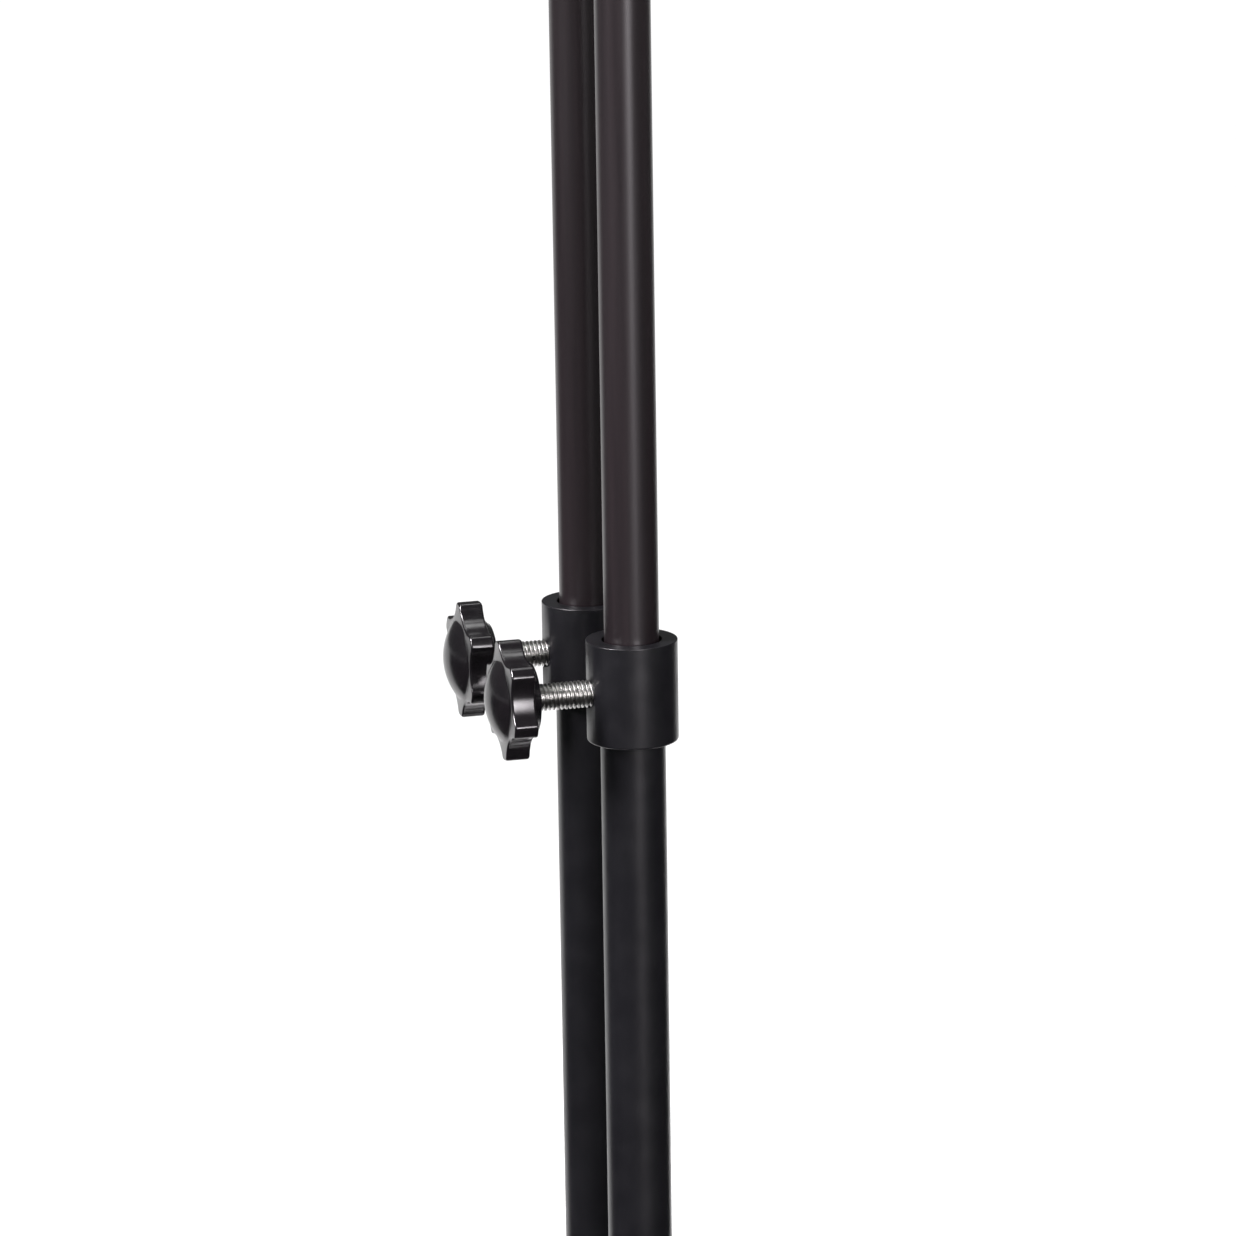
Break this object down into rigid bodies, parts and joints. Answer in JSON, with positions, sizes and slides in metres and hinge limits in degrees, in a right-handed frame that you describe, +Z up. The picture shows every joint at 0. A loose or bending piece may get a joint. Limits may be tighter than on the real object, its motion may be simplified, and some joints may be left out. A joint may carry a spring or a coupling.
{
  "type": "music stand",
  "caption": "Floor-standing music stand: an H base, paired telescoping posts locked by star knobs, and a wide tilting desk with a shelf.",
  "frame": {"origin": "on the floor, midway between the posts", "axes": "+Z up along the posts; +X to the player's right, along the line through the posts; the player stands on the -Y side, where the knobs point"},
  "size_m": [0.5, 0.4566, 1.2419],
  "materials": {
    "powder_coat": "satin black powder coat on steel",
    "satin_enamel": "satin black enamel on drawn steel tube",
    "desk_coat": "fine-textured matte black powder coat on sheet steel",
    "knob_plastic": "gloss black moulded plastic",
    "cap_plastic": "matte black moulded plastic",
    "zinc_plate": "bright zinc-plated steel",
    "rubber": "matte black rubber",
    "nylon": "natural nylon"
  },
  "bodies": {
    "base": {"base_crossbar": "powder_coat", "foot_rail_left": "powder_coat", "foot_rail_right": "powder_coat", "crossbar_end_cap_left": "cap_plastic", "crossbar_end_cap_right": "cap_plastic", "rail_end_cap_front_left": "cap_plastic", "rail_end_cap_front_right": "cap_plastic", "rail_end_cap_rear_left": "cap_plastic", "rail_end_cap_rear_right": "cap_plastic", "foot_pad_front_left": "rubber", "foot_pad_front_right": "rubber", "foot_pad_rear_left": "rubber", "foot_pad_rear_right": "rubber", "base_bolt_front_left": "zinc_plate", "base_bolt_front_right": "zinc_plate", "base_bolt_rear_left": "zinc_plate", "base_bolt_rear_right": "zinc_plate", "post_socket_left": "powder_coat", "post_socket_right": "powder_coat", "socket_screw_left": "zinc_plate", "socket_screw_right": "zinc_plate", "lower_tube_left": "powder_coat", "lower_tube_right": "powder_coat", "collar_left": "powder_coat", "collar_right": "powder_coat"},
    "mast": {"upper_tube_left": "satin_enamel", "upper_tube_right": "satin_enamel", "tube_plug_left": "cap_plastic", "tube_plug_right": "cap_plastic", "head_screw_left": "zinc_plate", "head_screw_right": "zinc_plate", "friction_washer_left": "nylon", "friction_washer_right": "nylon", "head_block": "powder_coat", "tilt_yoke": "powder_coat", "yoke_screw_front": "zinc_plate", "yoke_screw_rear": "zinc_plate", "tilt_bolt": "zinc_plate"},
    "desk": {"desk_bracket": "powder_coat", "desk_panel": "desk_coat", "desk_lip": "desk_coat", "lip_rivet_1": "zinc_plate", "lip_rivet_2": "zinc_plate", "lip_rivet_3": "zinc_plate", "lip_rivet_4": "zinc_plate", "bracket_rivet_lower_left": "zinc_plate", "bracket_rivet_lower_right": "zinc_plate", "bracket_rivet_upper_left": "zinc_plate", "bracket_rivet_upper_right": "zinc_plate"},
    "clamp_travel_left": {"clamp_pad_left": "nylon"},
    "clamp_travel_right": {"clamp_pad_right": "nylon"},
    "clamp_left": {"clamp_stud_left": "zinc_plate", "clamp_knob_left": "knob_plastic"},
    "clamp_right": {"clamp_stud_right": "zinc_plate", "clamp_knob_right": "knob_plastic"},
    "tilt_travel": {"tilt_washer": "zinc_plate"},
    "tilt_clamp": {"tilt_knob": "knob_plastic"}
  },
  "joints": [
    {"name": "height_slide", "type": "slide", "parent": "base", "child": "mast", "axis": [0, 0, 1], "range_m": [-0.3, 0.12]},
    {"name": "desk_tilt", "type": "hinge", "parent": "mast", "child": "desk", "pos_m": [0, 0, 1.0406], "axis": [-1, 0, 0], "range_deg": [-25, 65]},
    {"name": "clamp_travel_slide_left", "type": "slide", "parent": "base", "child": "clamp_travel_left", "axis": [0, -1, 0], "range_m": [0, 0.00314]},
    {"name": "clamp_turn_left", "type": "hinge", "parent": "clamp_travel_left", "child": "clamp_left", "pos_m": [-0.025, 0, 0.5447], "axis": [0, -1, 0], "range_deg": [0, 900]},
    {"name": "clamp_travel_slide_right", "type": "slide", "parent": "base", "child": "clamp_travel_right", "axis": [0, -1, 0], "range_m": [0, 0.00314]},
    {"name": "clamp_turn_right", "type": "hinge", "parent": "clamp_travel_right", "child": "clamp_right", "pos_m": [0.025, 0, 0.5447], "axis": [0, -1, 0], "range_deg": [0, 900]},
    {"name": "tilt_travel_slide", "type": "slide", "parent": "mast", "child": "tilt_travel", "axis": [1, 0, 0], "range_m": [0, 0.00314]},
    {"name": "tilt_turn", "type": "hinge", "parent": "tilt_travel", "child": "tilt_clamp", "pos_m": [0, 0, 1.0406], "axis": [1, 0, 0], "range_deg": [0, 900]}
  ],
  "couplings": [
    {"joint": "clamp_travel_slide_left", "follows": "clamp_turn_left", "m_per_rad": 0.00019894},
    {"joint": "clamp_travel_slide_right", "follows": "clamp_turn_right", "m_per_rad": 0.00019894},
    {"joint": "tilt_travel_slide", "follows": "tilt_turn", "m_per_rad": 0.00019894}
  ]
}
